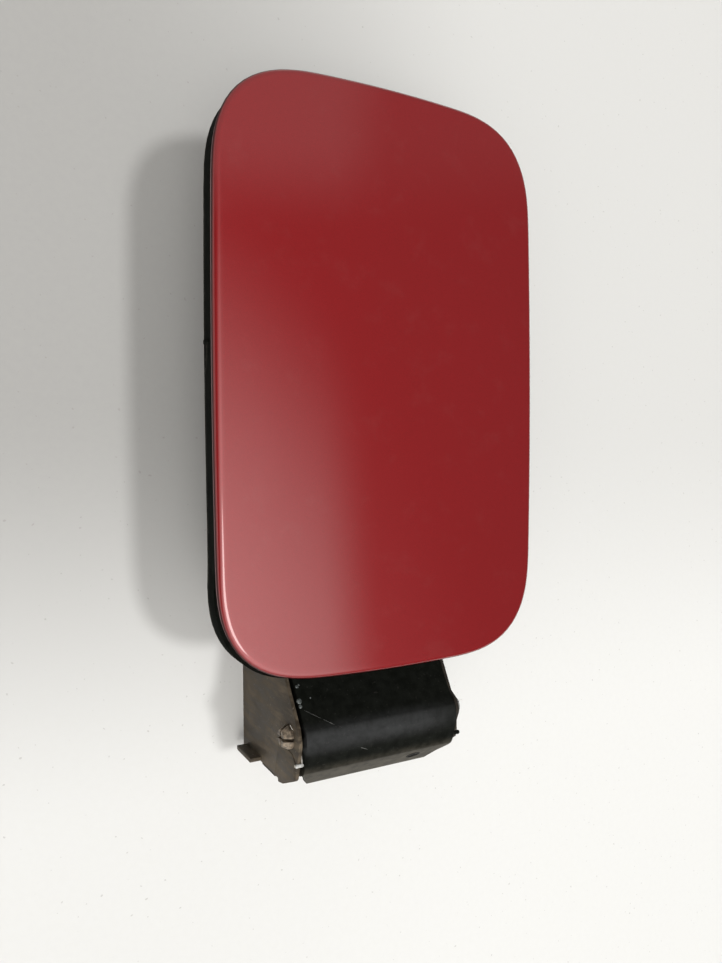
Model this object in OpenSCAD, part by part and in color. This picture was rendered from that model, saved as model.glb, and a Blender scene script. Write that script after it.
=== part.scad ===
// Fuel filler flap of a car: a painted skin on a ribbed carrier whose gooseneck arm
// turns on a cross pin in a U-shaped hinge bracket.
// Millimetres. The origin is the middle of the bracket's mounting face.
// +Z is the outward normal of the flap, +Y runs from the hinge to the free end.

/* [Flap] */
// Width of the painted skin across the hinge axis
flap_w = 112.5; // [105:0.5:120]
// Length of the painted skin from the hinge end to the free end
flap_l = 178; // [170:1:186]
// Reach of each corner of the skin's outline along its sides
corner_r = 34; // [30:1:36]
// Fullness of the corners: 2 gives quarter circles, more gives squarer ones
corner_power = 2.95; // [2.6:0.05:3.1]
// How far each long side bows out at its middle
side_bow = 1.1; // [0:0.1:2]
// How far each short end bows out at its middle
end_bow = 1.9; // [0:0.1:3]
// Rise of the outer face between the long sides
crown_across = 2.5; // [1.5:0.1:3]
// Extra rise of the outer face along the flap
crown_along = 0.8; // [0:0.1:1]
// Thickness of the skin at its middle
skin_t = 3; // [2.6:0.1:3.4]
// Radius of the skin's outer edge
edge_r = 2; // [1:0.1:2.2]
// Height of the crown above the mounting face
crown_z = 59; // [58:0.5:61]

/* [Carrier] */
// Depth of the carrier's back edge below the crown
rim_drop = 13.5; // [12.5:0.1:14]
// Thickness of the carrier's rim
rim_t = 2.2; // [1.6:0.1:3]
// Thickness of the carrier's plate
plate_t = 2; // [1.6:0.1:2.4]
// Distance between neighbouring cross ribs
rib_pitch = 20; // [18:1:21]

/* [Hinge] */
// Distance of the pin's axis from the hinge end of the skin
pin_beyond = 20.6; // [20:0.2:21.4]
// Depth of the pin's axis below the crown
pin_drop = 15.8; // [15.2:0.2:16.4]
// Diameter of the hinge pin
pin_d = 5; // [4.6:0.1:5.2]
// Width of the gooseneck arm
arm_w = 51.8; // [50:0.2:53]
// Room between the arm and each wall of the bracket
side_gap = 1.7; // [1.4:0.1:2]
// Thickness of the bracket's side walls
wall_t = 2; // [1.6:0.1:2.6]
// Length of the bracket's mounting face
bracket_l = 54; // [52:1:58]
// Radius of the two screw holes in the mounting wall
screw_r = 3.2; // [2.6:0.1:3.4]
// Distance between the two screw holes
screw_pitch = 32; // [28:1:36]
// Diameter of the spring wire
wire_d = 1; // [0.8:0.1:1]

/* [Hidden] */
$fn = 64;

paint = "#9b2328";
carrier_black = "#1d1d1e";
bracket_brown = "#3a3632";
pin_grey = "#5a544c";
steel = "#b9b9b4";
rubber_black = "#141414";

half_w = flap_w / 2;
half_l = flap_l / 2;
pin_y = -9.4;
pin_z = crown_z - pin_drop;
flap_y = pin_y + pin_beyond + half_l;
crown_radius = (half_w * half_w + crown_across * crown_across) / (2 * crown_across);
under_z = crown_z - skin_t;

// Outlines

corner_steps = 16;
side_steps = 10;

function eased(v) = sign(v) * pow(abs(v), 2 / corner_power);

function corner(centre, r, from) =
    [for (i = [0:corner_steps]) let (a = from + 90 * i / corner_steps)
        centre + r * [eased(cos(a)), eased(sin(a))]];

function along(a, b, steps) = [for (i = [1:steps - 1]) a + (b - a) * i / steps];

function rounded_rect(hw, hl, r) = concat(
    corner([hw - r, hl - r], r, 0),
    along([hw - r, hl], [r - hw, hl], side_steps),
    corner([r - hw, hl - r], r, 90),
    along([-hw, hl - r], [-hw, r - hl], side_steps),
    corner([r - hw, r - hl], r, 180),
    along([r - hw, -hl], [hw - r, -hl], side_steps),
    corner([hw - r, r - hl], r, 270),
    along([hw, r - hl], [hw, hl - r], side_steps));

function bowed(p) = [
    p.x * (1 - side_bow / half_w * pow(p.y / half_l, 2)),
    p.y * (1 - end_bow / half_l * pow(p.x / half_w, 2))];

// The flap's outline, drawn in by a given amount, about the flap's own middle
function flap_outline(inset) =
    [for (p = rounded_rect(half_w - inset, half_l - inset, corner_r - inset)) bowed(p)];

// A closed outline whose corners are rounded, given as [y, z, radius]
function turn(a, b) = let (c = atan2(b.y, b.x) - atan2(a.y, a.x)) c > 180 ? c - 360 : c < -180 ? c + 360 : c;

function softened(p) = [for (i = [0:len(p) - 1])
    let (n = len(p), here = [p[i].x, p[i].y], r = p[i].z,
         before = [p[(i + n - 1) % n].x, p[(i + n - 1) % n].y],
         after = [p[(i + 1) % n].x, p[(i + 1) % n].y],
         u = (here - before) / norm(here - before), v = (after - here) / norm(after - here),
         bend = turn(u, v), steps = r == 0 ? 0 : max(2, ceil(abs(bend) / 12)),
         side = bend > 0 ? 1 : -1, cut = r * tan(abs(bend) / 2),
         centre = here - u * cut + side * r * [-u.y, u.x],
         start = atan2(-side * u.x, side * u.y))
    for (k = [0:steps])
        r == 0 ? here : centre + r * [cos(start + bend * k / steps), sin(start + bend * k / steps)]];

// A plate across the hinge, from x0 to x1, cut to a [y, z] outline
module across(x0, x1, outline) {
    translate([x0, 0, 0])
        rotate([90, 0, 90])
            linear_extrude(x1 - x0)
                polygon(outline);
}

module mirrored() {
    children();
    mirror([1, 0, 0]) children();
}

// Outer skin

stake_x = 28.5;
stake_rows = [-60, 0, 60];
stake_shoulder_r = 3.4;
stake_r = 2;
stake_head_r = 3.2;
stake_head_t = 1.4;
stake_hole_r = 2.1;
plate_top = crown_z - 6.6;
plate_bottom = plate_top - plate_t;

function crown(p) = -crown_across * pow(p.x / half_w, 2) - crown_along * pow(p.y / half_l, 2);
function under(p) = -crown_across * pow(p.x / half_w, 2) - skin_t;

edge_steps = 5;
inner_rings = 6;

// Rings of the skin from the middle of its back, round the edge, to the middle of its face
function ring_back(k) = [for (p = flap_outline(1)) let (q = p * k / inner_rings) [q.x, q.y, under(q)]];
function ring_side(a) = [for (p = flap_outline(edge_r * (1 - cos(a))))
    [p.x, p.y, crown(p) - edge_r * (1 - sin(a))]];
function ring_face(k) = [for (p = flap_outline(edge_r)) let (q = p * k / inner_rings) [q.x, q.y, crown(q)]];
function ring_foot() = [for (p = flap_outline(0)) [p.x, p.y, under(p) + 0.5]];

skin_rings = concat(
    [for (k = [1:inner_rings]) ring_back(k)],
    [ring_foot()],
    [for (i = [0:edge_steps - 1]) ring_side(90 * i / edge_steps)],
    [for (k = [inner_rings:-1:1]) ring_face(k)]);

// A closed solid through a list of rings, with a point at each end
module lofted(rings, first, last) {
    n = len(rings[0]);
    m = len(rings);
    points = concat([first], [for (ring = rings) each ring], [last]);
    polyhedron(points, concat(
        [for (i = [0:n - 1]) [0, 1 + i, 1 + (i + 1) % n]],
        [for (k = [0:m - 2], i = [0:n - 1], half = [0, 1])
            let (a = 1 + k * n + i, b = 1 + k * n + (i + 1) % n)
            half == 0 ? [a, a + n, b] : [b, a + n, b + n]],
        [for (i = [0:n - 1]) let (o = 1 + (m - 1) * n) [o + (i + 1) % n, o + i, len(points) - 1]]));
}

module stake() {
    translate([0, 0, plate_top])
        cylinder(r = stake_shoulder_r, h = crown_z - plate_top - skin_t + 0.5);
    translate([0, 0, plate_bottom - 0.5])
        cylinder(r = stake_r, h = plate_t + 1);
    translate([0, 0, plate_bottom - stake_head_t])
        cylinder(r1 = stake_head_r - 0.8, r2 = stake_head_r, h = stake_head_t);
}

module outer_panel() {
    color(paint)
    translate([0, flap_y, 0]) {
        translate([0, 0, crown_z])
            lofted(skin_rings, [0, 0, -skin_t], [0, 0, 0]);
        for (x = [-stake_x, stake_x], y = stake_rows)
            translate([x, y, 0]) stake();
    }
}

// Gooseneck arm

arm_half = arm_w / 2;
cheek_t = 2.4;
arm_skin_t = 2.2;
knuckle_t = 1.6;
boss_r = 4.9;
boss_inner = 15.5;
boss_outer = arm_half - 5.3;
bore_r = pin_d / 2 + 0.05;
coil_room_r = pin_d / 2 + wire_d + 0.7;
arm_ribs = [-8.3, 8.3];
rib_t = 1.6;
web_z = pin_z - 5.4;
arm_floor = pin_z - 10.6;
tongue_half = 21.7;

crease = [pin_y + 1.2, pin_z + 5.5];
nose = [pin_y - 4.6, pin_z + 6.2];
lower_corner = [pin_y - 9.8, pin_z + 4.1];
tail_end = [pin_y - 18.7, pin_z - 4.5];
dip = [10.5, web_z + 0.2];

// The face that shows, from the carrier's plate to the tail
arm_face = [
    [19.5, plate_bottom + 0.5, 0], [17.5, web_z, 2.5], [dip.x, dip.y, 4],
    [crease.x, crease.y, 6], [nose.x, nose.y, 8], [lower_corner.x, lower_corner.y, 5]];

// The same face one wall further in
arm_back = [
    [lower_corner.x + 1.6, lower_corner.y - 2.4, 3], [nose.x + 0.4, nose.y - knuckle_t, 6],
    [crease.x + 0.4, crease.y - knuckle_t, 4], [dip.x + 0.4, dip.y - arm_skin_t, 4],
    [20.2, web_z - arm_skin_t, 2.5], [22.5, plate_bottom + 0.5, 0]];

cheek_outline = softened(concat(arm_face, [
    [pin_y - 12.1, pin_z + 1.3, 2], [pin_y - 10.6, pin_z - 3.5, 2], [pin_y, pin_z - 6.4, 4],
    [12, arm_floor, 6], [27, arm_floor, 6], [46, plate_bottom + 0.5, 0]]));

shell_outline = softened(concat(arm_face,
    [[tail_end.x, tail_end.y, 0.8], [tail_end.x + 1.5, tail_end.y - 1.5, 0.8]], arm_back));

rib_outline = softened(concat(arm_face, [
    [pin_y - 11.5, pin_z + 1, 1], [pin_y, pin_z - 4.5, 4],
    [12, arm_floor, 6], [27, arm_floor, 6], [46, plate_bottom + 0.5, 0]]));

// Plan of the tail: full width at the knuckle, narrower with round corners at its end
module tail_plan() {
    translate([0, 0, pin_z - 20])
        linear_extrude(40)
            polygon(softened([
                [-arm_half, 20, 0], [-arm_half, pin_y - 11.4, 2.5], [-tongue_half - 2, pin_y - 14.1, 2],
                [-tongue_half, tail_end.x - 1, 3], [tongue_half, tail_end.x - 1, 3],
                [tongue_half + 2, pin_y - 14.1, 2], [arm_half, pin_y - 11.4, 2.5], [arm_half, 20, 0]]));
}

module arm_bosses() {
    mirrored()
        translate([boss_inner, pin_y, pin_z])
            rotate([0, 90, 0])
                cylinder(r = boss_r, h = boss_outer - boss_inner);
}

module arm_solid() {
    mirrored() across(arm_half - cheek_t, arm_half, cheek_outline);
    intersection() {
        across(-arm_half + 0.1, arm_half - 0.1, shell_outline);
        union() {
            tail_plan();
            translate([-arm_half, 0, arm_floor]) cube([arm_w, 40, 40]);
        }
    }
    for (x = concat(arm_ribs, [-boss_inner - 2, boss_inner + 2]))
        across(x - rib_t / 2, x + rib_t / 2, rib_outline);
    arm_bosses();
}

module arm_bores() {
    translate([-arm_half, pin_y, pin_z])
        rotate([0, 90, 0])
            cylinder(r = bore_r, h = arm_w);
    mirrored()
        translate([boss_outer, pin_y, pin_z])
            rotate([0, 90, 0])
                cylinder(r = coil_room_r, h = arm_half - boss_outer + 1);
}

// Carrier

lip_inset = 0.6;
lip_t = 1.5;
rim_inset = 1.4;
seat_gap = 0.3;
rim_bottom = crown_z - rim_drop;
rib_bottom = plate_bottom - 3.4;
long_ribs = [-38, -19, 0, 19, 38];
cross_ribs = 4;
latch_y = 72;
latch_half = 7;
latch_leg = 3;
latch_depth = 8;
latch_bottom = crown_z - 27;
buffer_x = 28.5;
buffer_row = 40;
buffer_stem_r = 2.5;
gate_y = 10;

module flap_prism(inset, z0, z1) {
    translate([0, flap_y, z0])
        linear_extrude(z1 - z0)
            polygon(flap_outline(inset));
}

// Everything under the back of the skin, less the room between skin and carrier
module below_skin(drop) {
    translate([0, flap_y + flap_l, under_z - drop - crown_radius])
        rotate([90, 0, 0])
            cylinder(r = crown_radius, h = 2 * flap_l, $fn = 360);
}

module rim() {
    difference() {
        union() {
            intersection() {
                flap_prism(lip_inset, plate_bottom - 1, crown_z);
                below_skin(seat_gap);
                lip_slab();
            }
            intersection() {
                flap_prism(rim_inset, rim_bottom, crown_z);
                below_skin(seat_gap + lip_t / 2);
            }
        }
        flap_prism(rim_inset + rim_t, rim_bottom - 1, crown_z + 1);
    }
}

// The lip follows the crown: what is above a crown one lip lower
module lip_slab() {
    difference() {
        flap_prism(0, rim_bottom - 1, crown_z + 1);
        below_skin(seat_gap + lip_t);
    }
}

// The ribs stop either side of the latch, so that its eye stays clear
module carrier_ribs() {
    difference() {
        intersection() {
            flap_prism(rim_inset + 0.5, rib_bottom, plate_top);
            translate([0, flap_y, rib_bottom]) {
                for (x = long_ribs)
                    translate([x - rib_t / 2, -half_l, 0]) cube([rib_t, flap_l, plate_top - rib_bottom]);
                for (k = [-cross_ribs:cross_ribs - 1])
                    translate([-half_w, (k + 0.5) * rib_pitch - rib_t / 2, 0])
                        cube([flap_w, rib_t, plate_top - rib_bottom]);
            }
        }
        latch_eye();
    }
}

module latch_eye() {
    translate([-latch_half, flap_y + latch_y - latch_depth, latch_bottom + latch_leg])
        cube([2 * latch_half, 2 * latch_depth, plate_bottom - latch_bottom - latch_leg]);
}

module latch_loop() {
    difference() {
        translate([-latch_half - latch_leg, flap_y + latch_y - latch_depth / 2, latch_bottom])
            cube([2 * (latch_half + latch_leg), latch_depth, plate_top - latch_bottom - 0.5]);
        latch_eye();
    }
}

module flap_carrier() {
    color(carrier_black)
    difference() {
        union() {
            rim();
            flap_prism(rim_inset + 0.5, plate_bottom, plate_top);
            carrier_ribs();
            latch_loop();
            arm_solid();
            translate([-half_w + rim_inset + 0.6, flap_y + gate_y, rim_bottom + 1])
                rotate([0, -90, 0]) cylinder(r = 0.7, h = 1.5);
        }
        arm_bores();
        for (x = [-stake_x, stake_x], y = stake_rows)
            translate([x, flap_y + y, plate_bottom - 1]) cylinder(r = stake_hole_r, h = plate_t + 2);
        for (x = [-buffer_x, buffer_x])
            translate([x, flap_y + buffer_row, plate_bottom - 1])
                cylinder(r = buffer_stem_r, h = plate_t + 2);
    }
}

// Rubber buffers

buffer_r = 5.5;
buffer_h = 8;
buffer_lip_r = 3.2;
buffer_lip_t = 1;

module buffer(side) {
    color(rubber_black)
    translate([side * buffer_x, flap_y + buffer_row, plate_bottom]) {
        translate([0, 0, -buffer_h]) cylinder(r1 = buffer_r - 1.2, r2 = buffer_r, h = buffer_h);
        cylinder(r = buffer_stem_r, h = plate_t);
        translate([0, 0, plate_t]) cylinder(r1 = buffer_lip_r, r2 = buffer_lip_r - 1, h = buffer_lip_t);
    }
}

// Hinge bracket

wall_in = arm_half + side_gap;
wall_out = wall_in + wall_t;
bracket_half = bracket_l / 2;
floor_t = 2.5;
sweep_r = 20.3;
lower_wall_in = -bracket_half + 2.2;
lower_wall_z = pin_z - sqrt(sweep_r * sweep_r - pow(lower_wall_in - pin_y, 2)) - 0.6;
upper_wall_t = 2.4;
upper_wall_z = arm_floor - 0.2;
serration_z0 = pin_z - 24.5;
serration_pitch = 1.8;
serrations = 7;
step_z = pin_z - 10.3;
hook = [pin_y - 7.6, pin_z + 4.6];
tab_out = 3.9;
tab_z0 = 4;
tab_z1 = 18;
tab_t = 1.6;
tab_top = -bracket_half + 2.5;

wall_outline = softened([
    [bracket_half, 0, 0], [bracket_half, pin_z - 8, 3], [10, pin_z - 1.6, 20],
    [pin_y + 3.9, pin_z + 5, 4], [pin_y - 2.6, pin_z + 5.6, 5], [pin_y - 6.6, pin_z + 4.4, 4],
    [pin_y - 12.3, pin_z + 4.5, 3], [-bracket_half + 0.4, pin_z - 6.1, 2.5],
    [-bracket_half - 0.3, pin_z - 9.5, 1], [-bracket_half - 0.3, step_z + 0.2, 0.4],
    [-bracket_half + 0.7, step_z, 0.3], [-bracket_half + 0.7, 0, 0]]);

module bracket_side() {
    difference() {
        across(wall_in, wall_out, wall_outline);
        translate([wall_in - 1, hook.x - wire_d / 2 - 0.1, hook.y - wire_d / 2])
            cube([wall_t + 2, wire_d + 0.2, 4]);
    }
    for (i = [0:serrations - 1])
        translate([wall_in, -bracket_half + 0.3, serration_z0 + i * serration_pitch])
            cube([wall_t, 0.6, serration_pitch / 2]);
    translate([wall_in, tab_top - tab_t, tab_z0])
        cube([wall_t + tab_out, tab_t, tab_z1 - tab_z0]);
}

module bracket_solid() {
    mirrored() bracket_side();
    translate([-wall_out + 0.1, -bracket_half + 0.7, 0])
        cube([2 * wall_out - 0.2, bracket_l - 0.7, floor_t]);
    translate([-wall_out + 0.1, -bracket_half + 0.7, 0])
        cube([2 * wall_out - 0.2, lower_wall_in + bracket_half - 0.7, lower_wall_z]);
    translate([-wall_out + 0.1, bracket_half - upper_wall_t, 0])
        cube([2 * wall_out - 0.2, upper_wall_t, upper_wall_z]);
    for (x = [-1, 1] * screw_pitch / 2)
        translate([x, 0, 0]) cylinder(r = 2 * screw_r, h = floor_t + 2);
}

module hinge_bracket() {
    color(bracket_brown)
    difference() {
        bracket_solid();
        translate([-wall_out - 1, pin_y, pin_z])
            rotate([0, 90, 0]) cylinder(d = pin_d + 0.02, h = 2 * wall_out + 2);
        for (x = [-1, 1] * screw_pitch / 2)
            translate([x, 0, -1]) cylinder(r = screw_r, h = floor_t + 4);
    }
}

// Hinge pin: a round head on the right, a split snap end on the left

pin_head_r = 3.3;
pin_head_t = 3.4;
pin_head_edge = 0.6;
snap_r = 3.75;
snap_flat = 1;
snap_l = 3;
snap_slot = 1;
snap_slot_l = 8;

module hinge_pin() {
    color(pin_grey)
    translate([0, pin_y, pin_z])
        rotate([0, 90, 0])
            difference() {
                union() {
                    translate([0, 0, -wall_out - 0.5]) cylinder(d = pin_d, h = 2 * wall_out + 1);
                    translate([0, 0, wall_out]) cylinder(r = pin_head_r, h = pin_head_t - pin_head_edge);
                    translate([0, 0, wall_out + pin_head_t - pin_head_edge])
                        cylinder(r1 = pin_head_r, r2 = pin_head_r - pin_head_edge, h = pin_head_edge);
                    translate([0, 0, -wall_out - snap_flat]) cylinder(r = snap_r, h = snap_flat);
                    translate([0, 0, -wall_out - snap_l])
                        cylinder(r1 = snap_r - 1.2, r2 = snap_r, h = snap_l - snap_flat);
                }
                for (turned = [0, 90])
                    rotate([0, 0, turned])
                        translate([-snap_slot / 2, -snap_r - 1, -wall_out - snap_l - 1])
                            cube([snap_slot, 2 * snap_r + 2, snap_slot_l + 1]);
            }
}

// Closing springs: one leg hooks over the bracket's wall, the coil goes round the pin and the
// other leg presses on the inside of the tail

coil_r = pin_d / 2 + wire_d / 2 + 0.25;
coil_pitch = wire_d + 0.08;
coil_turns = 4;
coil_outer_x = arm_half + side_gap / 2;
wire_sides = 8;
steps_per_turn = 14;

hook_at = [hook.x - pin_y, hook.y - pin_z];
hook_angle = atan2(hook_at.y, hook_at.x);
first_angle = hook_angle - acos(coil_r / norm(hook_at));
coil_sweep = first_angle + 90 + 360 * coil_turns;
coil_steps = round(coil_sweep / 360 * steps_per_turn);
coil_inner_x = coil_outer_x - coil_pitch * coil_sweep / 360;

spring_path = concat(
    [[wall_out + 0.8, hook.x, hook.y], [coil_outer_x + 1.1, hook.x, hook.y],
     [coil_outer_x + 0.4, hook.x + 0.15, hook.y - 0.05], [coil_outer_x, hook.x + 0.7, hook.y - 0.15]],
    [for (i = [0:coil_steps]) let (a = first_angle - coil_sweep * i / coil_steps)
        [coil_outer_x - coil_pitch * coil_sweep / 360 * i / coil_steps,
         pin_y + coil_r * cos(a), pin_z + coil_r * sin(a)]],
    [[coil_inner_x, pin_y - 6, pin_z - coil_r - 0.1], [coil_inner_x, pin_y - 12.6, pin_z - coil_r - 0.1]]);

function unit(v) = v / norm(v);
function heading(p, i) = unit(p[min(i + 1, len(p) - 1)] - p[max(i - 1, 0)]);
function level(v, t) = unit(v - (v * t) * t);

// A round wire swept along a path, with a frame carried from point to point
module wire(path, d, sides) {
    n = len(path);
    normals = [for (i = 0, u = level([0, 0.3, 1], heading(path, 0)); i < n;
                    i = i + 1, u = level(u, heading(path, min(i, n - 1)))) u];
    points = [for (i = [0:n - 1]) let (t = heading(path, i), u = normals[i], w = cross(t, u))
        for (k = [0:sides - 1]) path[i] + d / 2 * (cos(360 * k / sides) * u + sin(360 * k / sides) * w)];
    polyhedron(points, concat(
        [[for (k = [0:sides - 1]) k]],
        [for (i = [0:n - 2], k = [0:sides - 1])
            let (a = i * sides + k, b = i * sides + (k + 1) % sides) [b, a, a + sides, b + sides]],
        [[for (k = [sides - 1:-1:0]) (n - 1) * sides + k]]));
}

module spring_right() {
    color(steel) wire(spring_path, wire_d, wire_sides);
}

module spring_left() {
    mirror([1, 0, 0]) spring_right();
}

module buffer_left() { buffer(-1); }
module buffer_right() { buffer(1); }

outer_panel();
flap_carrier();
hinge_bracket();
hinge_pin();
spring_left();
spring_right();
buffer_left();
buffer_right();
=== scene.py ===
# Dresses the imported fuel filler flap: paint, moulded plastic, dust, floor, light and camera.
import bpy
import bmesh
import random
from math import acos, atan2, copysign, cos, degrees, hypot, pi, radians, sin
from mathutils import Matrix, Vector
from mathutils.bvhtree import BVHTree


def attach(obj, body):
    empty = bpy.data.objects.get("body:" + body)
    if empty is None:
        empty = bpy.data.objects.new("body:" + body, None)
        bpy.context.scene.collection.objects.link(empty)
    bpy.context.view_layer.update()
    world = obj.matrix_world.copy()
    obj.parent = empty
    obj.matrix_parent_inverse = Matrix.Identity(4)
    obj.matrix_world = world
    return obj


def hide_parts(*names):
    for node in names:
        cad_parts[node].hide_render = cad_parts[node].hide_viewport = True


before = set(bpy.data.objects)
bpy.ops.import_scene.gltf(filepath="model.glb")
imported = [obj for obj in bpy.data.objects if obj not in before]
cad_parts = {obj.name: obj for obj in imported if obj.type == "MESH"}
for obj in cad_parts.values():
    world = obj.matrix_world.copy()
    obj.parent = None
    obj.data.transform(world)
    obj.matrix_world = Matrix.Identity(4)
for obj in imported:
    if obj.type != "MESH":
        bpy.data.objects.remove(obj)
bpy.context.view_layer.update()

MM = 0.001

# The photograph: 722 x 963 pixels, taken with a focal length of about 750 of them
PHOTO_H = 963
FOCAL_PX = 750
SENSOR_H = 36.0

# The crown of the flap, in the frame of the part
CROWN = Vector((0, 100.2, 59)) * MM

# Camera: roll about its own view, nod, pan, and where it stands from the crown
CAM_ROLL = radians(0.373)
CAM_NOD = radians(1.639)
CAM_PAN = radians(28.157)
CAM_FROM_CROWN = Vector((-118.36, -23.97, 198.12)) * MM


def make_camera():
    data = bpy.data.cameras.new("camera")
    data.sensor_fit = "VERTICAL"
    data.sensor_height = SENSOR_H
    data.lens = FOCAL_PX / PHOTO_H * SENSOR_H
    data.clip_start = 0.01
    camera = bpy.data.objects.new("camera", data)
    turn = (Matrix.Rotation(-CAM_PAN, 4, "Y") @ Matrix.Rotation(-CAM_NOD, 4, "X")
            @ Matrix.Rotation(-CAM_ROLL, 4, "Z"))
    camera.matrix_world = Matrix.Translation(CROWN + CAM_FROM_CROWN) @ turn
    bpy.context.scene.collection.objects.link(camera)
    bpy.context.scene.camera = camera


make_camera()
bpy.context.scene.view_settings.view_transform = "Standard"

# ---- Numbers of the part that the pieces here repeat, in millimetres ----

HALF_W, HALF_L = 56.25, 89.0
CORNER_R, CORNER_POWER = 34.0, 2.95
SIDE_BOW, END_BOW = 1.1, 1.9
CROWN_ACROSS, CROWN_ALONG = 2.5, 0.8
SKIN_T, EDGE_R = 3.0, 2.0
CROWN_Z, FLAP_Y = 59.0, 100.2
PLATE_TOP, PLATE_BOTTOM = 52.4, 50.4
PIN_Y, PIN_Z = -9.4, 43.2


# ---- Meshes ----

class Shape:
    """Points in millimetres and faces, built up ring by ring."""

    def __init__(self):
        self.points = []
        self.faces = []

    def ring(self, points):
        first = len(self.points)
        self.points += [tuple(p) for p in points]
        return list(range(first, len(self.points)))

    def bridge(self, a, b):
        n = len(a)
        for i in range(n):
            j = (i + 1) % n
            self.faces.append((a[i], a[j], b[j], b[i]))

    def loft(self, rings, first=None, last=None, cap=True):
        made = [self.ring(r) for r in rings]
        for a, b in zip(made, made[1:]):
            self.bridge(a, b)
        for ids, tip, flip in ((made[0], first, True), (made[-1], last, False)):
            if tip is not None:
                top = len(self.points)
                self.points.append(tuple(tip))
                for i in range(len(ids)):
                    j = (i + 1) % len(ids)
                    face = (ids[i], ids[j], top)
                    self.faces.append(face[::-1] if flip else face)
            elif cap:
                self.faces.append(tuple(ids[::-1] if flip else ids))

    def object(self, name, smooth=30.0):
        mesh = bpy.data.meshes.new(name)
        mesh.from_pydata([Vector(p) * MM for p in self.points], [], self.faces)
        bm = bmesh.new()
        bm.from_mesh(mesh)
        bmesh.ops.recalc_face_normals(bm, faces=bm.faces)
        bm.to_mesh(mesh)
        bm.free()
        return linked(name, mesh, smooth)


def linked(name, mesh, smooth=30.0):
    for face in mesh.polygons:
        face.use_smooth = True
    mesh.set_sharp_from_angle(angle=radians(smooth))
    obj = bpy.data.objects.new(name, mesh)
    bpy.context.scene.collection.objects.link(obj)
    return obj


def bevelled(obj, width, segments=2, angle=35.0):
    """A small round on the edges, made part of the mesh."""
    mod = obj.modifiers.new("round", "BEVEL")
    mod.width = width * MM
    mod.segments = segments
    mod.limit_method = "ANGLE"
    mod.angle_limit = radians(angle)
    mod.harden_normals = False
    mesh = bpy.data.meshes.new_from_object(obj.evaluated_get(bpy.context.evaluated_depsgraph_get()))
    obj.modifiers.clear()
    old = obj.data
    obj.data = mesh
    mesh.name = obj.name
    bpy.data.meshes.remove(old)
    for face in mesh.polygons:
        face.use_smooth = True
    mesh.set_sharp_from_angle(angle=radians(45))
    return obj


def softened(points, steps=6):
    """An outline [y, z, r] with its corners rounded to r."""
    out = []
    n = len(points)
    for i, (y, z, r) in enumerate(points):
        p = Vector((y, z))
        a = Vector(points[i - 1][:2]) - p
        b = Vector(points[(i + 1) % n][:2]) - p
        if r <= 0:
            out.append(tuple(p))
            continue
        la, lb = a.length, b.length
        a.normalize()
        b.normalize()
        half = a.angle(b) / 2
        reach = min(r / max(sin(half) / max(cos(half), 1e-6), 1e-6), la * 0.48, lb * 0.48)
        r = reach * sin(half) / max(cos(half), 1e-6)
        centre = p + (a + b).normalized() * (r / sin(half))
        u = p + a * reach - centre
        v = p + b * reach - centre
        turn = atan2(u.x * v.y - u.y * v.x, u.dot(v))
        for k in range(steps + 1):
            t = turn * k / steps
            out.append(tuple(centre + Vector((u.x * cos(t) - u.y * sin(t), u.x * sin(t) + u.y * cos(t)))))
    return out


def prism(shape, outline, x0, x1):
    shape.loft([[(x, y, z) for y, z in outline] for x in (x0, x1)])


def wire(shape, path, d, sides=12):
    path = [Vector(p) for p in path]
    up = Vector((0, 0.3, 1))
    rings = []
    for i, p in enumerate(path):
        t = (path[min(i + 1, len(path) - 1)] - path[max(i - 1, 0)]).normalized()
        up = (up - t * up.dot(t)).normalized()
        side = t.cross(up)
        rings.append([p + d / 2 * (cos(2 * pi * k / sides) * up + sin(2 * pi * k / sides) * side)
                      for k in range(sides)])
    shape.loft(rings)


def turned(shape, centre, profile, axis="Z", sides=32):
    """A profile of (r, along) turned about an axis through the centre."""
    c = Vector(centre)
    rings = []
    for r, h in profile:
        ring = []
        for k in range(sides):
            a = 2 * pi * k / sides
            u, v = r * cos(a), r * sin(a)
            ring.append(c + (Vector((u, v, h)) if axis == "Z" else Vector((h, u, v))))
        rings.append(ring)
    shape.loft(rings)


# ---- Materials ----

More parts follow.
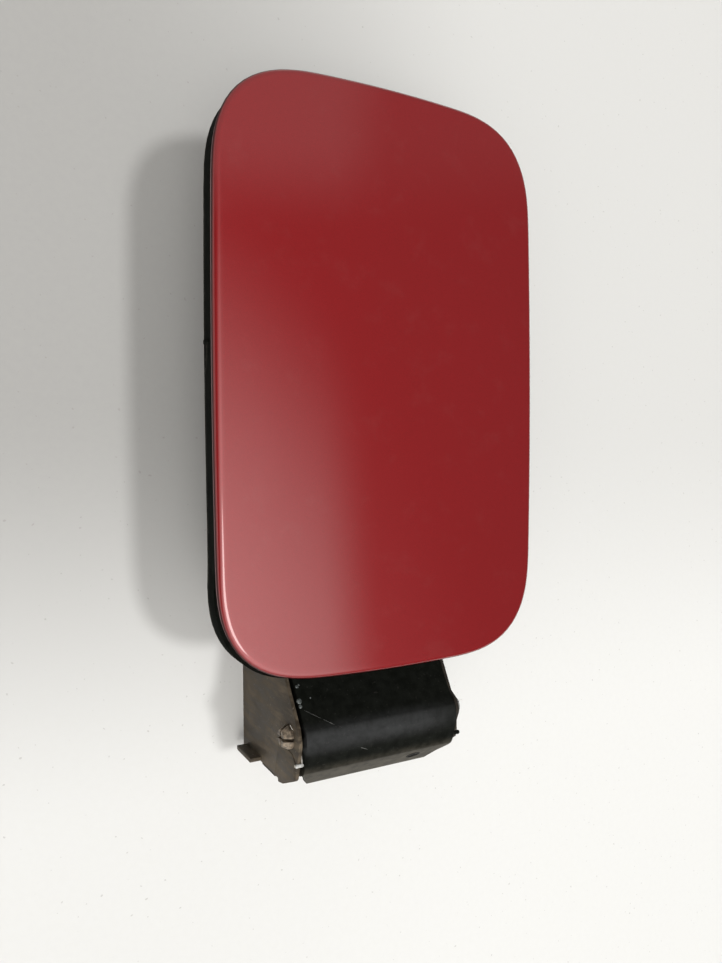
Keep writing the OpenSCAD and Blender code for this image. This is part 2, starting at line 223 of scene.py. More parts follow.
class Look:
    """A node material, with short calls for the nodes it uses."""

    def __init__(self, name):
        self.mat = bpy.data.materials.new(name)
        self.mat.use_nodes = True
        self.tree = self.mat.node_tree
        self.bsdf = self.tree.nodes["Principled BSDF"]
        self.place = self.tree.nodes.new("ShaderNodeTexCoord").outputs["Object"]
        self.soft = None

    def add(self, kind, **values):
        node = self.tree.nodes.new(kind)
        for key, value in values.items():
            setattr(node, key, value)
        return node

    def join(self, a, b):
        self.tree.links.new(a, b)

    def put(self, socket, value):
        if isinstance(value, (int, float)):
            socket.default_value = value
        elif isinstance(value, tuple):
            socket.default_value = (*value, 1) if len(value) == 3 and socket.type == "RGBA" else value
        else:
            self.join(value, socket)

    def stretch(self, scale):
        node = self.add("ShaderNodeMapping")
        self.join(self.place, node.inputs["Vector"])
        node.inputs["Scale"].default_value = scale
        return node.outputs["Vector"]

    def noise(self, size, detail=3.0, rough=0.5, at=None, stretch=None):
        """Noise with features of about this many millimetres."""
        node = self.add("ShaderNodeTexNoise")
        self.join(at or (self.stretch(stretch) if stretch else self.place), node.inputs["Vector"])
        node.inputs["Scale"].default_value = 1000.0 / size
        node.inputs["Detail"].default_value = detail
        node.inputs["Roughness"].default_value = rough
        return node.outputs["Fac"]

    def axis(self, letter):
        node = self.add("ShaderNodeSeparateXYZ")
        self.join(self.place, node.inputs[0])
        return node.outputs[letter]

    def span(self, value, low, high, to_low=0.0, to_high=1.0, smooth=True):
        node = self.add("ShaderNodeMapRange", interpolation_type="SMOOTHSTEP" if smooth else "LINEAR")
        self.put(node.inputs["Value"], value)
        node.inputs["From Min"].default_value = low
        node.inputs["From Max"].default_value = high
        node.inputs["To Min"].default_value = to_low
        node.inputs["To Max"].default_value = to_high
        return node.outputs["Result"]

    def math(self, operation, a, b=0.0):
        node = self.add("ShaderNodeMath", operation=operation)
        self.put(node.inputs[0], a)
        self.put(node.inputs[1], b)
        return node.outputs[0]

    def mix(self, share, a, b, kind="MIX"):
        node = self.add("ShaderNodeMix", data_type="RGBA", blend_type=kind)
        self.put(node.inputs["Factor"], share)
        self.put(node.inputs["A"], a)
        self.put(node.inputs["B"], b)
        return node.outputs["Result"]

    def round_edges(self, width):
        """Edges that catch the light over this many millimetres."""
        node = self.add("ShaderNodeBevel", samples=6)
        node.inputs["Radius"].default_value = width * MM
        self.soft = node.outputs["Normal"]
        self.join(self.soft, self.bsdf.inputs["Normal"])

    def bump(self, height, depth, strength=1.0):
        node = self.add("ShaderNodeBump")
        node.inputs["Strength"].default_value = strength
        node.inputs["Distance"].default_value = depth * MM
        self.join(height, node.inputs["Height"])
        if self.soft:
            self.join(self.soft, node.inputs["Normal"])
        self.soft = node.outputs["Normal"]
        self.join(self.soft, self.bsdf.inputs["Normal"])

    def set(self, **values):
        names = {"color": "Base Color", "rough": "Roughness", "metallic": "Metallic", "coat": "Coat Weight",
                 "coat_rough": "Coat Roughness", "coat_ior": "Coat IOR", "ior": "IOR",
                 "specular": "Specular IOR Level", "sheen": "Sheen Weight", "sheen_rough": "Sheen Roughness"}
        for key, value in values.items():
            self.put(self.bsdf.inputs[names[key]], value)


def paint_look():
    look = Look("red_lacquer")
    flakes = look.noise(0.16, 1.0)
    cloud = look.noise(38.0, 2.0)
    dirt = look.span(look.noise(9.0, 5.0, 0.62), 0.52, 0.75)
    color = look.mix(look.span(flakes, 0.35, 0.65), (0.222, 0.0034, 0.0052), (0.268, 0.0046, 0.0074))
    color = look.mix(look.span(cloud, 0.3, 0.7, 0.0, 0.2), color, (0.226, 0.0040, 0.0040))
    color = look.mix(look.math("MULTIPLY", dirt, 0.015), color, (0.42, 0.36, 0.33))
    # Painted shade: the lower half of the edge is painted dark and its coat nearly taken away
    x2 = look.math("POWER", look.math("ABSOLUTE", look.axis("X")), 2.0)
    level = look.math("ADD", look.axis("Z"), look.math("MULTIPLY", x2, 1000 * CROWN_ACROSS / HALF_W ** 2))
    low = look.span(level, (CROWN_Z - 1.1) * MM, (CROWN_Z - 1.9) * MM)
    color = look.mix(low, color, (0.035, 0.0004, 0.0012))
    look.set(color=color, metallic=0.42, rough=0.5, coat=look.span(low, 0.0, 1.0, 1.0, 0.06, False),
             coat_rough=0.05, coat_ior=1.9, specular=0.05)
    look.bump(look.noise(2.4, 1.0), 0.004, 0.5)
    return look.mat


def carrier_look():
    look = Look("black_moulding")
    y, z = look.axis("Y"), look.axis("Z")
    grime = look.noise(3.0, 6.0, 0.65)
    specks = look.span(look.noise(0.9, 2.0), 0.66, 0.72)
    low = look.math("MULTIPLY", look.span(y, -0.0165, -0.0225), look.span(grime, 0.25, 0.62, 0.35, 1.0))
    color = look.mix(look.span(grime, 0.3, 0.7), (0.004, 0.00448, 0.00352), (0.008, 0.0088, 0.0072))
    # Painted highlight: the nose of the arm is painted lighter where it catches the overhead light, less so toward
    # its right end
    nose_highlight = look.math("MULTIPLY", look.span(y, -0.0155, -0.0095), look.span(y, -0.0035, -0.0085))
    nose_highlight = look.math("MULTIPLY", nose_highlight, look.span(look.axis("X"), 0.028, 0.010, 0.35, 1.0))
    color = look.mix(look.math("MULTIPLY", nose_highlight, look.span(grime, 0.2, 0.7, 0.6, 1.0)), color,
                     (0.0345, 0.0355, 0.0358))
    color = look.mix(look.math("MULTIPLY", low, 0.75), color, (0.08, 0.0712, 0.0552))
    color = look.mix(look.math("MULTIPLY", specks, 0.05), color, (0.192, 0.176, 0.16))
    edge = look.math("MULTIPLY", look.span(z, 0.0475, 0.0455), look.span(y, 0.010, 0.0115))
    color = look.mix(look.math("MULTIPLY", edge, look.span(grime, 0.3, 0.7, 0.08, 0.3)), color, (0.144, 0.136, 0.12))
    # A thin painted highlight along the top of the lip, under the skin, where the lip catches the light
    x2 = look.math("POWER", look.math("ABSOLUTE", look.axis("X")), 2.0)
    level = look.math("ADD", z, look.math("MULTIPLY", x2, 1000 * CROWN_ACROSS / HALF_W ** 2))
    lip = look.span(level, (CROWN_Z - 3.75) * MM, (CROWN_Z - 3.55) * MM)
    color = look.mix(look.math("MULTIPLY", lip, 0.8), color, (0.32, 0.208, 0.208))
    arm = look.span(y, 0.0110, 0.0105)
    look.round_edges(0.35)
    look.bump(look.noise(0.5, 3.0), 0.03, 0.5)
    look.set(color=color, rough=look.mix(arm, (0.95, 0.95, 0.95), (0.46, 0.46, 0.46)), specular=0.03)
    return look.mat


def bracket_look():
    look = Look("dusty_moulding_painted_shade")
    streak = look.noise(2.2, 5.0, 0.6, stretch=(1.0, 1.0, 0.16))
    broad = look.noise(9.0, 3.0)
    color = look.mix(look.span(streak, 0.36, 0.64), (0.034, 0.0262, 0.0178), (0.112, 0.088, 0.0605))
    color = look.mix(look.span(broad, 0.35, 0.7, 0.0, 0.5), color, (0.048, 0.0385, 0.0275))
    fleck = look.span(look.noise(1.1, 2.0), 0.67, 0.73)
    color = look.mix(look.math("MULTIPLY", fleck, 0.5), color, (0.208, 0.184, 0.152))
    # Painted shade: the right wall is painted darker
    color = look.mix(look.span(look.axis("X"), 0.0, 0.025, 0.0, 0.75), color, (0.012, 0.0112, 0.0104))
    look.round_edges(0.3)
    look.bump(look.noise(0.8, 4.0), 0.05, 0.6)
    look.set(color=color, rough=look.span(streak, 0.35, 0.65, 0.5, 0.75), specular=0.2)
    return look.mat


def simple_look(name, dark, light, size, rough, metallic=0.0, specular=0.5, depth=0.03, edges=0.25):
    look = Look(name)
    grain = look.noise(size, 4.0, 0.6)
    if edges:
        look.round_edges(edges)
    look.bump(look.noise(size / 3, 2.0), depth, 0.5)
    look.set(color=look.mix(look.span(grain, 0.35, 0.65), dark, light), rough=rough, metallic=metallic,
             specular=specular)
    return look.mat


def pin_look():
    look = Look("dirty_pin")
    right = look.span(look.axis("X"), -0.01, 0.01)
    grain = look.span(look.noise(1.4, 4.0, 0.6), 0.35, 0.65)
    left_color = look.mix(grain, (0.056, 0.0432, 0.0304), (0.24, 0.189, 0.136))
    right_color = look.mix(grain, (0.06, 0.061, 0.06), (0.26, 0.262, 0.258))
    look.round_edges(0.25)
    look.bump(look.noise(0.6, 3.0), 0.03, 0.5)
    look.set(color=look.mix(right, left_color, right_color), rough=0.5, specular=0.4)
    return look.mat


def floor_look():
    look = Look("pale_floor")
    x, y = look.axis("X"), look.axis("Y")
    across = look.span(x, -0.10, 0.09)
    down = look.span(y, 0.10, -0.05)
    shade = look.math("MULTIPLY", look.math("SUBTRACT", 1.0, look.math("MULTIPLY", across, 0.65)),
                      look.math("SUBTRACT", 1.0, look.math("MULTIPLY", down, 0.85)))
    grain = look.noise(2.5, 5.0, 0.6)
    speck = look.math("MULTIPLY", look.span(look.noise(1.6, 1.0), 0.74, 0.78), 0.35)
    color = look.mix(shade, FLOOR_LIGHT, FLOOR_DARK)
    color = look.mix(look.span(grain, 0.3, 0.7, 0.0, 0.05), color, (0.48, 0.464, 0.432))
    color = look.mix(speck, color, (0.208, 0.192, 0.176))
    look.bump(look.noise(1.5, 4.0), 0.05, 0.4)
    look.set(color=color, rough=0.7, specular=0.25)
    return look.mat


FLOOR_LIGHT = (0.664, 0.664, 0.648)
FLOOR_DARK = (0.32, 0.315, 0.304)

PAINT = paint_look()
CARRIER = carrier_look()
BRACKET = bracket_look()
PIN = pin_look()
STEEL = simple_look("spring_wire", (0.352, 0.32, 0.272), (0.72, 0.688, 0.64), 1.5, 0.4, 1.0, edges=0)
RUBBER = simple_look("buffer_rubber", (0.0192, 0.0192, 0.0192), (0.04, 0.04, 0.0384), 3.0, 0.7)
NUB = simple_look("pale_nub", (0.272, 0.272, 0.256), (0.512, 0.512, 0.496), 1.0, 0.4, edges=0.2)
GREASE = simple_look("dried_drop", (0.048, 0.0544, 0.0512), (0.12, 0.131, 0.128), 0.7, 0.15, edges=0)
FIBRE = simple_look("fibre", (0.56, 0.528, 0.48), (0.8, 0.768, 0.704), 1.0, 0.6, edges=0)
SCUFF = simple_look("scuff", (0.048, 0.048, 0.0448), (0.096, 0.096, 0.0896), 1.0, 0.5, edges=0)
STAMP = simple_look("mark_in_mould", (0.003, 0.003, 0.0026), (0.014, 0.0132, 0.0112), 1.0, 0.5,
                    specular=0.03, edges=0)


def dress(obj, mat):
    if obj.material_slots:
        for slot in obj.material_slots:
            slot.material = mat
    else:
        obj.data.materials.append(mat)


def stand_for(obj, mat, body, slot, *nodes):
    dress(obj, mat)
    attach(obj, body)
    if nodes:
        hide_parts(*nodes)
    return obj


# ---- The painted skin ----

def eased(v):
    return copysign(abs(v) ** (2 / CORNER_POWER), v)


def flap_outline(inset, corner_steps=22, side_steps=18, end_steps=9):
    hw, hl, r = HALF_W - inset, HALF_L - inset, CORNER_R - inset
    points = []
    for k, (cx, cy) in enumerate(((1, 1), (-1, 1), (-1, -1), (1, -1))):
        for i in range(corner_steps + 1):
            u = i / corner_steps
            a = radians(90 * (k + u ** 1.5 / (u ** 1.5 + (1 - u) ** 1.5)))
            points.append((cx * (hw - r) + r * eased(cos(a)), cy * (hl - r) + r * eased(sin(a))))
        steps = end_steps if k % 2 == 0 else side_steps
        nx, ny = ((-1, 1), (-1, -1), (1, -1), (1, 1))[k]
        a = radians(90 * (k + 1))
        start = points[-1]
        end = (nx * (hw - r) + r * eased(cos(a)), ny * (hl - r) + r * eased(sin(a)))
        for i in range(1, steps):
            t = i / steps
            points.append((start[0] + (end[0] - start[0]) * t, start[1] + (end[1] - start[1]) * t))
    return [(x * (1 - SIDE_BOW / HALF_W * (y / HALF_L) ** 2), y * (1 - END_BOW / HALF_L * (x / HALF_W) ** 2))
            for x, y in points]


def crown(x, y):
    return -CROWN_ACROSS * (x / HALF_W) ** 2 - CROWN_ALONG * (y / HALF_L) ** 2


def under(x):
    return -CROWN_ACROSS * (x / HALF_W) ** 2 - SKIN_T


def make_skin():
    def lifted(points, z_of):
        return [(x, y + FLAP_Y, z_of(x, y) + CROWN_Z) for x, y in points]

    shape = Shape()
    face = flap_outline(EDGE_R)
    rings = [lifted([(x * k, y * k) for x, y in face], crown)
             for k in (0.08, 0.2, 0.33, 0.45, 0.56, 0.66, 0.75, 0.83, 0.9, 0.95, 0.985)]
    for i in range(11):
        a = radians(90 - 9 * i)
        drop = EDGE_R * (1 - sin(a))
        rings.append(lifted(flap_outline(EDGE_R * (1 - cos(a))), lambda x, y, d=drop: crown(x, y) - d))
    rings.append(lifted(flap_outline(0), lambda x, y: under(x) + 0.5))
    rings.append(lifted(flap_outline(0.3), lambda x, y: under(x) + 0.15))
    rings.append(lifted(flap_outline(1), lambda x, y: under(x)))
    back = flap_outline(1)
    for k in (0.75, 0.5, 0.25):
        rings.append(lifted([(x * k, y * k) for x, y in back], lambda x, y: under(x)))
    shape.loft(rings, (0, FLAP_Y, CROWN_Z), (0, FLAP_Y, CROWN_Z - SKIN_T))
    for x in (-28.5, 28.5):
        for y in (-60, 0, 60):
            turned(shape, (x, FLAP_Y + y, 0),
                   ((3.0, CROWN_Z - SKIN_T - 0.4), (3.0, PLATE_TOP), (1.5, PLATE_TOP), (1.5, PLATE_BOTTOM),
                    (3.1, PLATE_BOTTOM), (2.3, PLATE_BOTTOM - 1.4)), sides=24)
    return shape.object("red_skin", 38)


stand_for(make_skin(), PAINT, "flap", "red_paint", "outer_panel")


# ---- The carrier with its arm ----

# The arm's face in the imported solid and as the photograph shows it, from its root to its tail
PACKED_FACE = ((10.5, 38.0), (-8.2, 48.7), (-14.0, 49.4), (-19.2, 47.3), (-28.1, 38.7))
SHOWN_FACE = ((10.9, 38.1), (-5.6, 50.9), (-10.6, 51.9), (-19.6, 49.1), (-27.8, 38.7))
PACKED_HALF = 25.9
SHOWN_HALF = 27.4

# The rim's outer face and the lip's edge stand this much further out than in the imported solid
RIM_INSET, RIM_OUT = 1.4, 1.05
FLARE = 1.35    # more at the two corners beside the arm
LIP_INSET, LIP_OUT = 0.6, 0.45
GATE_Y, GATE_Z = 110.2, 46.5


def step(value, low, high):
    t = min(max((value - low) / (high - low), 0.0), 1.0)
    return t * t * (3 - 2 * t)


def face_move(y):
    """How far the arm's face moves at this y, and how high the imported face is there."""
    y = min(max(y, PACKED_FACE[-1][0]), PACKED_FACE[0][0])
    for (y0, z0), (y1, z1), (ny0, nz0), (ny1, nz1) in zip(
            PACKED_FACE, PACKED_FACE[1:], SHOWN_FACE, SHOWN_FACE[1:]):
        if y >= y1:
            t = (y - y0) / (y1 - y0)
            old = Vector((y, z0 + (z1 - z0) * t))
            new = Vector((ny0 + (ny1 - ny0) * t, nz0 + (nz1 - nz0) * t))
            return new - old, old.y
    return Vector((0, 0)), PACKED_FACE[-1][1]


def outward(x, y, outline, near):
    """The outward direction of the outline where it passes this point, or nothing."""
    best = None
    for (ax, ay), (bx, by) in zip(outline, outline[1:] + outline[:1]):
        dx, dy = bx - ax, by - ay
        t = min(max(((x - ax) * dx + (y - ay) * dy) / max(dx * dx + dy * dy, 1e-9), 0.0), 1.0)
        gap = hypot(x - ax - dx * t, y - ay - dy * t)
        if gap < near and (best is None or gap < best[0]):
            best = (gap, Vector((dy, -dx)).normalized())
    return best[1] if best else None


def weighted(obj):
    """Normals that keep large faces flat and let small rounds flow into them."""
    mod = obj.modifiers.new("flow", "WEIGHTED_NORMAL")
    mod.keep_sharp = True
    mesh = bpy.data.meshes.new_from_object(obj.evaluated_get(bpy.context.evaluated_depsgraph_get()))
    obj.modifiers.clear()
    obj.data = mesh
    return obj


def copied(node):
    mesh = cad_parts[node].data.copy()
    bm = bmesh.new()
    bm.from_mesh(mesh)
    bmesh.ops.remove_doubles(bm, verts=bm.verts, dist=1e-6)
    return mesh, bm


def make_carrier():
    mesh, bm = copied("flap_carrier")
    rim, lip = flap_outline(RIM_INSET), flap_outline(LIP_INSET)
    for vert in bm.verts:
        x, y, z = vert.co / MM
        if z > 45.4 and y > 11 and hypot(y - GATE_Y, z - GATE_Z) > 0.8:
            for outline, out in ((rim, RIM_OUT), (lip, LIP_OUT)):
                way = outward(x, y - FLAP_Y, outline, 0.2)
                if way:
                    if outline is rim:
                        out += FLARE * step(abs(x), 18, 44) * step(FLAP_Y - y, 48, 78)
                    x, y = x + way.x * out, y + way.y * out
                    break
        elif x < -55 and hypot(y - GATE_Y, z - GATE_Z) < 0.8:
            x = -56.22
        if y < 17:
            move, face_z = face_move(y)
            share = (step(17 - y, 0, 6) * (1 - step(face_z - z, 3.4, 7.0))
                     * step(hypot(y - PIN_Y, z - PIN_Z), 4.95, 5.6))
            if y > 10.6:
                share *= 1 - step(z, 42, 45)
            y, z = y + move.x * share, z + move.y * share
        if y < 34 and (y < 10.6 or z < 45.4):
            wide = min(max((abs(x) - 22) / (PACKED_HALF - 22), 0.0), 1.0)
            if abs(x) > PACKED_HALF + 0.2:
                wide = 0.0
            if y > 10.6:
                wide *= 1 - step(z, 43.5, 45.4)
            x += copysign(wide * (SHOWN_HALF - PACKED_HALF) * step(34 - y, 0, 12), x)
        vert.co = Vector((x, y, z)) * MM
    bm.to_mesh(mesh)
    bm.free()
    return weighted(linked("carrier_moulding", mesh, 42))


carrier = stand_for(make_carrier(), CARRIER, "flap", "carrier_plastic", "flap_carrier")
CARRIER_SURFACE = BVHTree.FromPolygons([v.co for v in carrier.data.vertices],
                                       [tuple(f.vertices) for f in carrier.data.polygons])


# ---- The bracket ----

WALL_IN, WALL_OUT = 28.4, 29.6
PACKED_WALL_IN = 27.55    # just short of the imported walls
STEP_Z = 32.9
TEETH, TEETH_Z, TEETH_PITCH = 7, 18.7, 1.8

LEFT_FRONT = ((-5.5, 49.4, 4), (-10.0, 50.8, 5), (-16.0, 49.0, 4), (-22.0, 47.4, 3), (-26.6, 37.1, 2.5))
RIGHT_FRONT = ((-3.1, 45.8, 1.5), (-4.9, 48.8, 2.5), (-8.6, 50.7, 3), (-12.7, 48.8, 3), (-16.1, 48.9, 1),
               (-18.2, 48.3, 1), (-19.9, 46.0, 3), (-26.6, 36.0, 2.5))


def wall_outline(front):
    lower = [(-27.3, 33.7, 1), (-27.3, STEP_Z + 0.2, 0.4), (-26.3, STEP_Z, 0.3)]
    for i in reversed(range(TEETH)):
        z = TEETH_Z + i * TEETH_PITCH
        lower += [(-26.3, z + TEETH_PITCH / 2, 0), (-26.8, z + TEETH_PITCH / 2 - 0.15, 0.15),
                  (-26.8, z + 0.15, 0.15), (-26.3, z, 0)]
    return softened([(27, 0, 0), (27, 35.2, 3), (8, 39.6, 6), *front, *lower, (-26.3, 0, 0)], 5)


def make_walls():
    shape = Shape()
    prism(shape, wall_outline(RIGHT_FRONT), WALL_IN, WALL_OUT)
    prism(shape, wall_outline(LEFT_FRONT), -WALL_OUT, -WALL_IN)
    for side in (-1, 1):
        tab = softened([(-26.1, 4, 1.2), (-26.1, 18, 1.2), (-24.5, 18, 0.3), (-24.5, 4, 0.3)], 4)
        prism(shape, tab, side * (WALL_OUT - 0.1), side * 33.5)
    # The raised pad round the pin's end, on the left wall
    pad = softened([(-13.5, 37.2, 2), (-14.2, 45.5, 2), (-16.5, 48.0, 1), (-22.0, 46.6, 2.5), (-25.6, 37.6, 2),
                    (-24.0, 34.6, 1.5), (-18.4, 33.4, 1.5)], 5)
    prism(shape, pad, -WALL_OUT - 0.2, -WALL_OUT + 0.1)
    return bevelled(shape.object("bracket_walls"), 0.18)


def make_bracket():
    """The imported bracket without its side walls, whose place the thinner walls take."""
    mesh, bm = copied("hinge_bracket")
    limit = PACKED_WALL_IN * MM
    outer = [f for f in bm.faces
             if min(v.co.x for v in f.verts) > limit or max(v.co.x for v in f.verts) < -limit]
    bmesh.ops.delete(bm, geom=outer, context="FACES")
    for vert in bm.verts:
        if abs(vert.co.x) > limit:
            vert.co.x = copysign((WALL_IN + 0.1) * MM, vert.co.x)
    bm.to_mesh(mesh)
    bm.free()
    return linked("bracket_base", mesh, 25)


stand_for(make_walls(), BRACKET, "bracket", "bracket_plastic")
stand_for(make_bracket(), BRACKET, "bracket", "bracket_plastic", "hinge_bracket")

# ---- Springs, with the leg that hooks over the wall ----

WIRE_D = 0.8
HOOK = (-16.6, 48.9)


def spring_path():
    coil_r = 2.5 + WIRE_D / 2 + 0.25
    coil_x = (SHOWN_HALF + WALL_IN) / 2
    hy, hz = HOOK[0] - PIN_Y, HOOK[1] - PIN_Z
    first = degrees(atan2(hz, hy)) - degrees(acos(coil_r / hypot(hy, hz)))
    sweep = first + 90 + 360 * 4
    pitch = WIRE_D + 0.08
    steps = round(sweep / 360 * 24)
    path = [(WALL_OUT + 0.8, *HOOK), (coil_x + 0.6, *HOOK), (coil_x + 0.2, HOOK[0] + 0.15, HOOK[1] - 0.05),
            (coil_x, HOOK[0] + 0.7, HOOK[1] - 0.15)]
    for i in range(steps + 1):
        a = radians(first - sweep * i / steps)
        path.append((coil_x - pitch * sweep / 360 * i / steps, PIN_Y + coil_r * cos(a), PIN_Z + coil_r * sin(a)))
    inner = coil_x - pitch * sweep / 360
    return path + [(inner, PIN_Y - 6, PIN_Z - coil_r - 0.1), (inner, PIN_Y - 11.8, PIN_Z - coil_r - 0.1)]


for side, name in ((-1, "left"), (1, "right")):
    shape = Shape()
    wire(shape, [(side * x, y, z) for x, y, z in spring_path()], WIRE_D)
    stand_for(shape.object("spring_wire_" + name, 60), STEEL, "bracket", "spring_steel", "spring_" + name)

# ---- Small things on the arm, the wall and the springs' ends ----

# Down the arm's upper face, away from the flap
DOWN_ARM = Vector((0, -0.79, 0.613))


def seat(point):
    """The nearest place on the carrier's surface to this point, and the way out of it there."""
    place, way, _, _ = CARRIER_SURFACE.find_nearest(Vector(point) * MM)
    return place / MM, way


# How deep the foot of a drop or a thin line goes under the surface
SUNK, LINE_SUNK = 0.08, 0.06


def blob(shape, centre, radius, height, along=Vector((1, 0, 0)), stretch=1.0, seed=1, sides=20):
    """A low dried drop on a face: rings that shrink as they rise, a little uneven."""
    rand = random.Random(seed)
    centre, out = seat(centre)
    u = (along - out * along.dot(out)).normalized()
    v = out.cross(u)
    wobble = [1 + rand.uniform(-0.14, 0.14) for _ in range(sides)]
    rings = []
    for k in range(6):
        a = radians(90 * k / 5.4)
        ring = []
        for i in range(sides):
            t = 2 * pi * i / sides
            w = (wobble[i] + wobble[i - 1]) / 2 * radius * cos(a)
            ring.append(centre + u * (w * stretch * cos(t)) + v * (w * sin(t))
                        + out * (height * sin(a) - SUNK))
        rings.append(ring)
    shape.loft(rings)


def ridge(shape, a, b, width, height):
    """A thin raised line between two points of the carrier's surface."""
    a, b = Vector(a), Vector(b)
    along = (b - a).normalized()
    rings = []
    for t, w in ((0, 0.2), (0.12, 1), (0.35, 0.9), (0.6, 0.8), (0.85, 0.6), (1, 0.15)):
        p, out = seat(a + (b - a) * t)
        side = along.cross(out).normalized() * width / 2
        foot = p - out * LINE_SUNK
        rings.append([foot - side * w, foot + side * w, p + out * height * w])
    shape.loft(rings)


drops = Shape()
blob(drops, (-26.5, 5.6, 42.25), 0.6, 0.45, seed=3)
blob(drops, (-25.8, 6.0, 41.95), 0.3, 0.25, seed=4)
blob(drops, (-23.0, 2.3, 44.8), 0.32, 0.25, seed=5)
blob(drops, (-26.9, 1.9, 45.1), 0.85, 0.5, DOWN_ARM, 1.1, 6)
blob(drops, (-26.9, 0.6, 46.1), 0.6, 0.4, DOWN_ARM, 1.2, 7)
stand_for(drops.object("dried_drops", 70), GREASE, "flap", "carrier_plastic")

marks = Shape()
ridge(marks, (-26.2, -0.4, 46.9), (-20.8, -3.4, 49.2), 0.3, 0.04)
ridge(marks, (-20.8, -3.4, 49.2), (-15.4, -6.6, 51.1), 0.22, 0.04)
ridge(marks, (-8.6, -14.3, 50.9), (-5.8, -15.6, 50.5), 0.6, 0.05)
stand_for(marks.object("thin_scratch", 70), SCUFF, "flap", "carrier_plastic")

for side, look, name in ((-1, NUB, "left"), (1, CARRIER, "right")):
    nub = Shape()
    reach = 0.75 if side < 0 else 0.85
    turned(nub, (side * 28.95, HOOK[0] - 0.1, HOOK[1] + 0.1),
           ((0.2, -1.45 * side), (0.62 * reach, -1.3 * side), (0.8 * reach, -0.9 * side), (0.72 * reach, 0.1 * side),
            (0.85 * reach, 0.9 * side), (0.6 * reach, 1.3 * side), (0.15, 1.42 * side)), axis="X", sides=20)
    stand_for(nub.object("spring_nub_" + name, 60), look, "bracket", "spring_steel")

fibres = Shape()
for x, y, z, dx, dy, dz in ((33.2, -8.0, 44.5, 1.3, 0.6, 0.8), (33.2, -9.6, 43.4, 1.1, -0.4, 0.2),
                            (33.1, -8.8, 42.6, 1.5, 0.1, -0.3), (-29.9, -6.2, 46.4, -0.9, 0.8, 1.4),
                            (-29.9, -5.9, 45.4, -0.6, 1.0, 0.4)):
    wire(fibres, [(x - dx * 0.4, y - dy * 0.4, z - dz * 0.4), (x, y, z), (x + dx * 0.5, y + dy * 0.6, z + dz * 0.3),
                  (x + dx, y + dy, z + dz)], 0.16, 6)
stand_for(fibres.object("caught_fibres", 70), FIBRE, "bracket", "pin_plastic")


def make_stamp():
    """The round mould mark with a cross, low on the tail."""
    shape = Shape()
    centre, out = seat((14.6, -23.2, 44.56))
    u = Vector((1, 0, 0))
    v = out.cross(u)
    rings = []
    for r, h in ((2.6, -0.2), (2.5, 0.1), (2.1, 0.1), (2.0, 0.04), (0.3, 0.04)):
        rings.append([centre + u * (r * cos(2 * pi * i / 40)) + v * (r * 0.86 * sin(2 * pi * i / 40)) + out * h
                      for i in range(40)])
    shape.loft(rings)
    for angle in (20, 80, 140):
        way = u * cos(radians(angle)) + v * sin(radians(angle)) * 0.86
        ridge(shape, centre - way * 2.0, centre + way * 2.0, 0.4, 0.12)
    return shape.object("mould_mark", 50)


stand_for(make_stamp(), STAMP, "flap", "carrier_plastic")

dress(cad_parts["hinge_pin"], PIN)
dress(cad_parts["buffer_left"], RUBBER)
dress(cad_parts["buffer_right"], RUBBER)

# ---- Light, floor ----

bpy.ops.mesh.primitive_plane_add(size=3, location=(0, 0, 0))
floor = bpy.context.object
floor.name = "floor"
floor.data.materials.append(floor_look())

SKY_LOW, SKY_HIGH = 0.07, 0.14
GLOW = 1.75
EDGE_GLOW = 4.4
EDGE_TOWARD = Vector((-0.3, -0.35, 0.89)).normalized()
EDGE_FROM, EDGE_TO = 0.951, 0.972
GLOW_TOWARD = Vector((-0.25, -0.55, 0.8)).normalized()
GLOW_FROM, GLOW_TO = 0.5, 1.0
# To the right of this direction the broad glow is much weaker
SCREEN_FROM, SCREEN_TO, SCREENED = 0.34, 0.48, 0.15
# A faint glow from beyond the free end
FAR_GLOW, FAR_SCREENED = 0.26, 0.3
FAR_FROM, FAR_TO = 0.3, 0.42


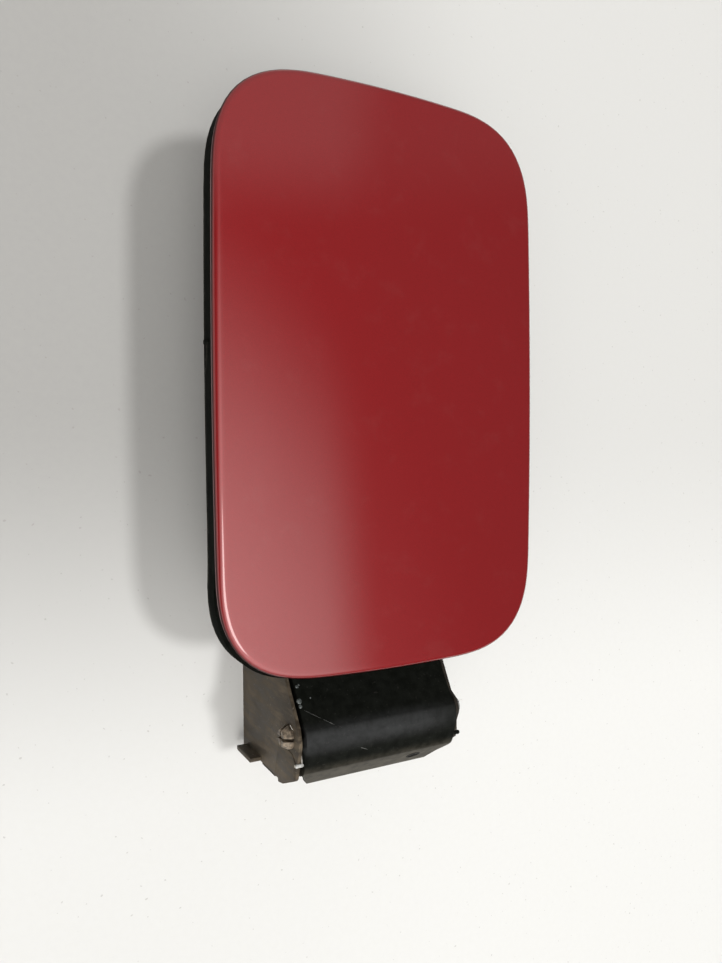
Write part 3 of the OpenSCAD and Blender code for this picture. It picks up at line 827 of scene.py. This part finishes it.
def make_world():
    world = bpy.data.worlds.new("soft_sky")
    bpy.context.scene.world = world
    world.use_nodes = True
    tree = world.node_tree
    back = tree.nodes["Background"]
    place = tree.nodes.new("ShaderNodeTexCoord").outputs["Generated"]

    def span(value, low, high, to_low, to_high):
        node = tree.nodes.new("ShaderNodeMapRange")
        node.interpolation_type = "SMOOTHSTEP"
        for name, number in (("From Min", low), ("From Max", high), ("To Min", to_low), ("To Max", to_high)):
            node.inputs[name].default_value = number
        tree.links.new(value, node.inputs["Value"])
        return node.outputs["Result"]

    def toward(direction):
        node = tree.nodes.new("ShaderNodeVectorMath")
        node.operation = "DOT_PRODUCT"
        node.inputs[1].default_value = direction
        tree.links.new(place, node.inputs[0])
        return node.outputs["Value"]

    def joined(operation, a, b):
        node = tree.nodes.new("ShaderNodeMath")
        node.operation = operation
        tree.links.new(a, node.inputs[0])
        tree.links.new(b, node.inputs[1])
        return node.outputs[0]

    glow = joined("MULTIPLY", span(toward(GLOW_TOWARD), GLOW_FROM, GLOW_TO, 0.0, GLOW),
                  span(toward(Vector((1, 0, 0))), SCREEN_FROM, SCREEN_TO, 1.0, SCREENED))
    far = joined("MULTIPLY", span(toward(Vector((0, 1, 0))), FAR_FROM, FAR_TO, 0.0, FAR_GLOW),
                 span(toward(Vector((1, 0, 0))), SCREEN_FROM, SCREEN_TO, 1.0, FAR_SCREENED))
    sky = span(toward(Vector((0, 0, 1))), 0.0, 0.85, SKY_LOW, SKY_HIGH)
    edge = span(toward(EDGE_TOWARD), EDGE_FROM, EDGE_TO, 0.0, EDGE_GLOW)
    light = joined("ADD", joined("ADD", joined("ADD", sky, glow), far), edge)
    tree.links.new(light, back.inputs["Strength"])
    back.inputs["Color"].default_value = (1.0, 0.985, 0.965, 1)


SUN, SUN_ANGLE, SUN_FROM = 1.5, 7, Vector((0.22, 0.0, 1))


def make_sun():
    data = bpy.data.lights.new("key", "SUN")
    data.energy = SUN
    data.angle = radians(SUN_ANGLE)
    lamp = bpy.data.objects.new("key", data)
    lamp.rotation_euler = SUN_FROM.to_track_quat("Z", "Y").to_euler()
    lamp.visible_glossy = False
    bpy.context.scene.collection.objects.link(lamp)


make_world()
make_sun()
